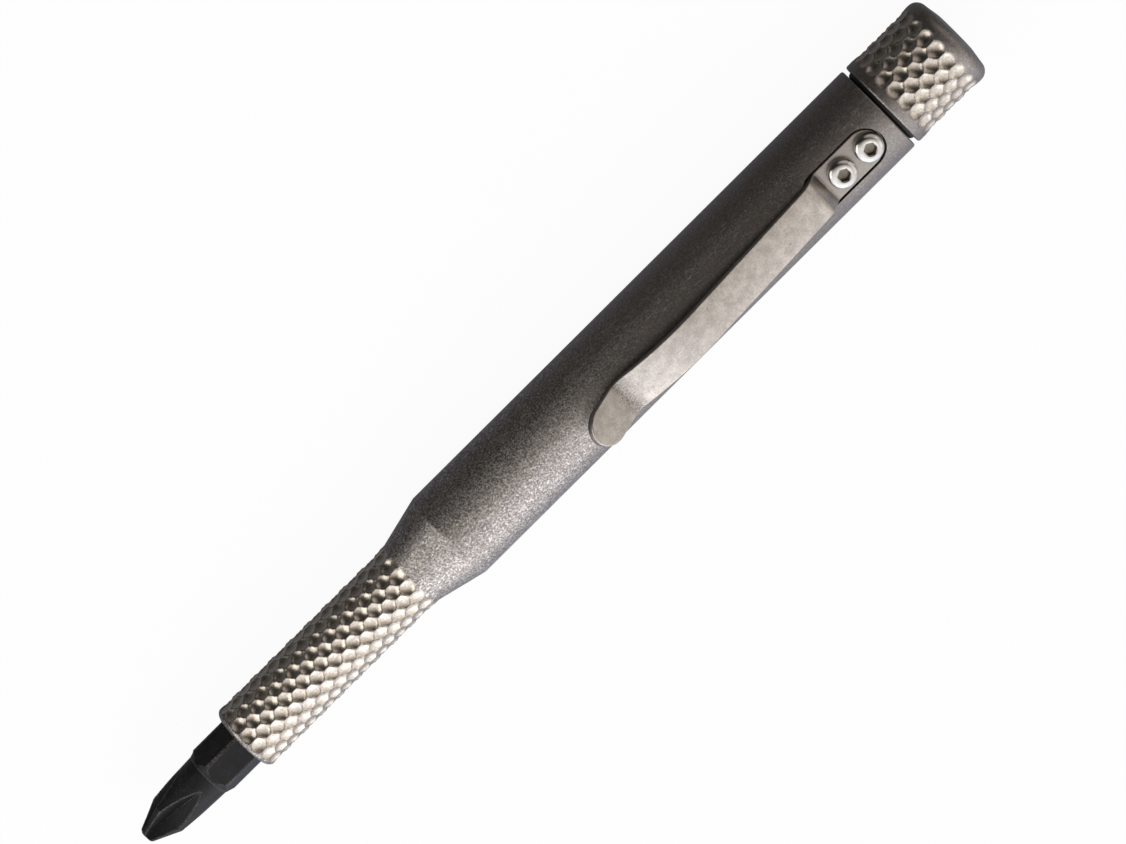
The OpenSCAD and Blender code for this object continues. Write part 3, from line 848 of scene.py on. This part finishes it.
clip = flat_clip()
holes = []
for a in (rear_screw, front_screw):
    bpy.ops.mesh.primitive_cylinder_add(vertices=32, radius=clip_hole_r, depth=3, location=(run_at(a), 0, 0))
    holes.append(bpy.context.object)
carved(clip, holes)
bending = bmesh.new()
bending.from_mesh(clip.data)
even_cuts = np.arange(clip_pitch, clip_run[-1], clip_pitch)
for run in sorted(set(np.round(np.concatenate([clip_run[1:-1], even_cuts]), 3))):
    bmesh.ops.bisect_plane(bending, geom=[*bending.verts, *bending.edges, *bending.faces], dist=1e-4,
                           plane_co=(run, 0, 0), plane_no=(1, 0, 0))
# points on the under side of the strip, for the painted shade there
below = [float(v.co.z < 0) for v in bending.verts]
for v in bending.verts:
    v.co = on_clip(*v.co)
bending.to_mesh(clip.data)
bending.free()
marked(clip, "below", below)
seat(clip, tumbled, "clip_titanium", None, "pocket_clip", crisp=40)
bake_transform(clip)
print("clip: strip", round(clip_run[-1], 2), "mm long before bending")

# %% [markdown]
# Two socket head screws hold the clip. One is turned on the lathe, standing up, with a domed head, a small
# countersink and a hex key socket with the dimple of its drill. A tree then sets it at each hole: a line of
# points, an instance on each, made real at the end, because the export keeps meshes and not instances.

# %% Clip screws
def screw_setter():
    tree, bench, size = tree_with(
        "screw_setter", Screw="Object", First="Vector", Step="Vector", Count="Int", Finish="Material")
    line = bench.add("GeometryNodeMeshLine", {"mode": "OFFSET"},
                     {"Count": size["Count"], "Start Location": size["First"], "Offset": size["Step"]})
    screw = bench.add("GeometryNodeObjectInfo", {"transform_space": "ORIGINAL"}, {"Object": size["Screw"]},
                      out="Geometry")
    stood = bench.add("GeometryNodeInstanceOnPoints", None, {"Points": line, "Instance": screw})
    close_tree(bench, stood, size["Finish"])
    return tree


key_floor, key_end, key_flat, key_corner = 0.6, 1.3, 0.75, 0.866
dome = [(0.78 + 0.62 * math.cos(t), 1.0 + 0.9 * math.sin(t)) for t in np.radians(range(6, 91, 6))]
one_screw = turned("one_screw", [
    (0.42, 0), (key_floor, 0.5), (key_floor, key_flat, key_corner), (key_end, key_flat, key_corner),
    (1.39, 0.93), (1.4, 1.0), *dome, (0.12, 1.9), (0.03, 1.87), (0, 1.8),
    (0, 1.0), (-0.05, 0.98), (-1.85, 0.98), (-1.9, 0.9), (-1.9, 0)], 72, upright=True, flat_turn=30)
outward(one_screw)
# marks the inside of the key socket for its painted shade
marked(one_screw, "grime", [
    float(math.hypot(v.co.x, v.co.y) < 0.9 * MM and 0 < v.co.z < 1.32 * MM) for v in one_screw.data.vertices])
screws = built("clip_screws", [], [])
through(screws, screw_setter(), {
    "Screw": one_screw, "First": spot(rear_screw, 0, slot_floor + clip_t),
    "Step": ((front_screw - rear_screw) * MM, 0, 0), "Count": 2, "Finish": steel})
bpy.data.objects.remove(one_screw)
seat(screws, steel, "screw_steel", "handle", "clip_screw_rear", "clip_screw_front")

# %% [markdown]
# A bit is turned as well: a hex shank, a round neck and a tip. A cone cuts the corners of the hex at the rear
# end, and at the front end its flats run out in points on the neck. A bit has stations of its own, counted
# from its rear face. The tips are cuts that can be written as the largest radius left at each angle. The
# cross tip has four grooves, ground by the edge of a wheel: a groove is deepest at the tip, runs out along
# the shank, and leaves four wings.

# %% The bit in the nose
bit_l, hex_l, hex_flat, hex_corner, bit_neck_r = 25, 13.9, 3.175, 3.6, 3.09


def shank():
    """Rear half of every bit: chamfered hex, and flats that run out in points on the round neck."""
    chamfer = [(a, hex_flat, 3.0 + a) for a in spaced(0.1, 0.6, 0.1)]
    run_out, half_flat = 0.85, math.sqrt(hex_corner ** 2 - hex_flat ** 2)
    pointed = [(hex_l - left, hex_flat, math.hypot(hex_flat, half_flat * left / run_out))
               for left in spaced(run_out, 0.05, 0.05)]
    return [(0, 0), (0, 2.94), (0.06, 3.05), *chamfer, (6, hex_flat, hex_corner), *pointed, (hex_l, 3.15)]


def bit(name, tip, rear, columns, rule=None, flat_turn=0.0):
    """A bit with its rear face at the station rear. Wear is marked where its surface turns sharply."""
    def ground(station, turn, radius):
        return rule(station - rear, turn, radius) if rule else radius

    rows = [(rear + a, *radii) for a, *radii in [*shank(), *tip]]
    piece = turned(name, rows, columns, reshape=ground, flat_turn=flat_turn)
    outward(piece)
    work = bmesh.new()
    work.from_mesh(piece.data)
    sharp = [max([abs(e.calc_face_angle(0)) for e in v.link_edges], default=0) for v in work.verts]
    work.free()
    marked(piece, "wear", [min(1.0, 1.1 * angle) for angle in sharp])
    return piece


def cross_tip(station, turn, radius):
    """Four grooves with straight walls, ground by a wheel that comes nearest to the axis at the tip."""
    wheel, nearest, half_angle = 18.5, 0.5, math.radians(50)
    back = np.clip(bit_l - station, 0, 16)
    core = nearest + wheel - np.sqrt(wheel ** 2 - back ** 2)
    aside = np.abs((turn + np.pi / 4) % (np.pi / 2) - np.pi / 4)
    wall = np.cos(aside) - np.sin(aside) / math.tan(half_angle)
    return np.where(station > 12, np.minimum(radius, core / np.maximum(wall, 0.02)), radius)


taper = (hex_l, 21.2, bit_l), (bit_neck_r, 2.82, 1.0)
neck_and_point = [(a, np.interp(a, *taper)) for a in spaced(14.0, 21.1, 0.11) + spaced(21.2, 24.7, 0.1)]
blunt_end = [(24.83, 1.06), (24.93, 0.96), (24.985, 0.82), (bit_l, 0.62), (bit_l, 0)]
driver = bit("driver_bit_cross", neck_and_point + blunt_end, SOCKET_FLOOR, 192, cross_tip, SOCKET_TURN)
seat(driver, oxide, "black_bit_steel", "bit", "driver_bit", crisp=38)

# %% [markdown]
# Three more bits lie end to end in the barrel: slotted, hex and star. They rest on the floor of the bore, so
# they sit a little below the axis. Only the tip differs, so each one is a list of stations for its tip and,
# where the tip isn't just turned or hex, a rule.

# %% Spare bits
def slotted_tip(station, turn, radius):
    """Two flats that come together towards the end."""
    half = 0.5 + 2.25 * np.clip((24.7 - station) / 6.7, 0, 1)
    flat = half / np.maximum(np.abs(np.cos(turn)), 0.02)
    return np.where(station > 17.9, np.minimum(radius, flat), radius)


def star_tip(station, turn, radius):
    """Six round grooves, with their middles on a circle round the axis."""
    middle, groove = 2.497, 0.594
    aside = turn % (np.pi / 3) - np.pi / 6
    room = groove ** 2 - (middle * np.sin(aside)) ** 2
    cut = np.where(room > 0, middle * np.cos(aside) - np.sqrt(np.maximum(room, 0)), radius)
    return np.where(station > 16.995, np.minimum(radius, cut), radius)


def stepped(r, flat=None):
    """Step from the neck to a thin tip with a chamfered end."""
    f = flat or r
    return [(17.29 + r - bit_neck_r, bit_neck_r), (16.96, r + 0.32), (16.99, r + 0.2),
            *[(a, f, r) for a in spaced(17.0, 24.7, 0.25)], (bit_l, f, r - 0.3), (bit_l, 0)]


blade = [(17.8, 2.76), *[(a, 2.75) for a in spaced(18, 24.9, 0.23)], (bit_l, 2.68), (bit_l, 0)]
spares = {
    "slotted": (blade, slotted_tip), "hex": (stepped(2.309, 2.0), None), "star": (stepped(2.2), star_tip)}
first_rear, spare_pitch, drop = -7.45, 25.05, 0.209
for place, (kind, (tip, rule)) in enumerate(spares.items()):
    spare = bit("spare_" + kind, tip, first_rear + place * spare_pitch, 144, rule)
    spare.data.transform(Matrix.Translation((0, 0, -drop * MM)))
    seat(spare, oxide, "black_bit_steel", "handle", "spare_bit_" + kind)

# %% [markdown]
# Three small turned pieces are left. The seal ring sits in the relief of the neck and shows as a dark line in
# the gap; moulded rings have a fine parting line, so this one has it too. The magnet behind the bit has
# rounded rims, and the silicone pad in the cap is slightly domed and carries the print of the bits.

# %% Seal ring, magnet and pad
ring_at, ring_mid_r, ring_r, parting, ring_steps = -0.5, 5.0, 0.4925, 0.01773, 28
ring_rows = []
for i in range(ring_steps + 1):
    t = math.tau * i / ring_steps
    proud = ring_r + (parting if i in (7, 21) else 0.0)
    ring_rows.append((ring_at + proud * math.sin(t), ring_mid_r + proud * math.cos(t)))
seal = turned("seal_ring", ring_rows, 144)
outward(seal, merge=0.001)
seat(seal, seal_rubber, "seal_rubber", "handle", "neck_o_ring")

magnet = turned("socket_magnet_disc", [
    (99.52, 0), (99.52, 2.8), *arc(99.72, 2.8, 0.2, 180, 90, 5), *arc(102.26, 2.8, 0.2, 90, 0, 5),
    (102.46, 1.6), (102.47, 0)], 96)
outward(magnet)
seat(magnet, nickel, "plated_magnet", "handle", "socket_magnet")

pad = turned("rattle_pad_disc", [
    (-9.47, 0), (-9.47, 3.7), *arc(-9.27, 3.7, 0.19, 180, 90, 4), *arc(-7.75, 3.65, 0.24, 90, 0, 5),
    (-7.51, 3.45), (-7.505, 3.2), (-7.56, 3.1), (-7.58, 1.5), (-7.58, 0)], 96)
outward(pad)
seat(pad, pad_silicone, "pad_silicone", "cap_pad", "rattle_pad")

# %% [markdown]
# The camera stands where the photographer stood: above the tool, turned so that the tool runs from lower
# left to upper right, and a little behind its middle, so that the cap is nearer than the bit. A long lens
# keeps the edges of the barrel nearly parallel.

# %% Camera
roll, lean, slant = (math.radians(a) for a in (23.7, 4.3, 44.82))
away, seen_width, film = 0.640, 0.1383, 36
back = Vector((-math.sin(lean), -math.sin(roll) * math.cos(lean), math.cos(roll) * math.cos(lean)))
to_cap = Vector((-1, 0, 0))
to_cap = (to_cap - back * to_cap.dot(back)).normalized()
aside = to_cap.cross(back)
right = to_cap * math.cos(slant) + aside * math.sin(slant)
upward = to_cap * math.sin(slant) - aside * math.cos(slant)
eye = spot(54.5, 0, 0) + back * away
camera = placed("camera", bpy.data.cameras.new("camera"))
camera.data.lens, camera.data.sensor_width = film * away / seen_width, film
camera.data.clip_start, camera.data.clip_end = 0.01, 20
camera.matrix_world = Matrix.Translation(eye) @ Matrix((right, upward, back)).transposed().to_4x4()
bpy.context.scene.camera = camera
print("lens", round(camera.data.lens, 1), "mm,", away, "m away")

# %% [markdown]
# Metal shows little but its surroundings, so the room does most of the work. The floor is a plain pale
# table: nearly all of what the camera sees of it is white, and the rest is matt and takes the tool's
# shadow. In the metal the table is paper that gets brighter towards the window. The room is dark, with a
# broad window on the side of the bit, warm at its rim and cool in its middle, which lights one flank of the
# barrel. A warm glow from the wall on the cap's side opens up the shade on the other, and the camera sees
# the room as white. Three soft lamps add to that: key, front and fill.

# %% Floor, room and lamps
DARK, WHITE = rgb(0.022, 0.021, 0.020), rgb(1, 1, 1)


def pale_floor():
    finish, bench, mm = finish_bench("pale_floor")
    seen, glossy, through_glass = (
        bench.add("ShaderNodeLightPath", out=ray)
        for ray in ("Is Camera Ray", "Is Glossy Ray", "Is Transmission Ray"))
    paper = tint(mm.axis("Y").rise(-30, 58), DARK, rgb(0.73, 0.77, 0.91))
    sheet = tint(seen, paper, WHITE)
    matt = bench.add("ShaderNodeBsdfDiffuse", None, {"Color": rgb(0.9, 0.9, 0.9)})
    bright = bench.add("ShaderNodeEmission", None, {"Color": sheet, "Strength": 1.0})
    share = (seen * 0.945).most(glossy.most(through_glass) * 0.94)
    mixed = bench.add("ShaderNodeMixShader", None, {0: share, 1: matt, 2: bright})
    bench.add("ShaderNodeOutputMaterial", None, {"Surface": mixed})
    return finish


floor = built("floor", [(-4, -4, 0), (4, -4, 0), (4, 4, 0), (-4, 4, 0)], [(0, 1, 2, 3)])
floor.data.materials.append(pale_floor())
floor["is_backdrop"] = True

world = bpy.data.worlds.new("room")
world.use_nodes = True
world.node_tree.nodes.clear()
room = Bench(world.node_tree)
look = room.add("ShaderNodeTexCoord", out="Generated")
to_bit, to_side, up = (look.axis(k) for k in "XYZ")
to_window = to_bit * 0.65 + to_side * 0.75 + up * 0.35
daylight = tint(to_window.rise(0.2, 0.8), rgb(1.50, 1.41, 1.32), rgb(1.40, 1.43, 1.54))
sky = tint(to_window.rise(-0.19, 0.86), DARK, daylight)
to_wall = up * 0.35 - to_bit * 0.85 - to_side * 0.40
sky = tint(to_wall.rise(0.68, 0.98) * 0.56, sky, rgb(1.00, 0.92, 0.89))
seen = room.add("ShaderNodeLightPath", out="Is Camera Ray")
shade = room.add("ShaderNodeBackground", None, {"Color": tint(seen, sky, WHITE), "Strength": 1.0})
room.add("ShaderNodeOutputWorld", None, {"Surface": shade})
bpy.context.scene.world = world


def soft_lamp(name, towards, distance, wide, high, power, aim):
    """A soft box that looks at a point of the tool from a direction, with its power in watts."""
    lamp = bpy.data.lights.new(name, "AREA")
    lamp.shape, lamp.size, lamp.size_y, lamp.energy = "RECTANGLE", wide, high, power
    out = Vector(towards).normalized()
    facing = out.to_track_quat("Z", "Y").to_matrix().to_4x4()
    placed(name, lamp).matrix_world = Matrix.Translation(Vector(aim) + out * distance) @ facing


soft_lamp("key", (0.40, 0.70, 0.55), 0.40, 0.30, 0.24, power=0.18, aim=(0.02, 0, 0.006))
soft_lamp("front", (0.74, -0.54, 0.42), 0.45, 0.36, 0.34, power=0.55, aim=(0.03, 0, 0.006))
soft_lamp("fill", (-0.76, 0.40, 0.50), 0.45, 0.40, 0.32, power=0.26, aim=(-0.01, 0, 0.01))
bpy.context.scene.view_settings.view_transform = "Standard"

# %% Sizes and finish
new_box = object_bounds()
change = [round((n - c) / MM, 2) for old, new in zip(cad_box, new_box) for c, n in zip(old, new)]
print("visual box less CAD box, low then high corner:", change, "mm")
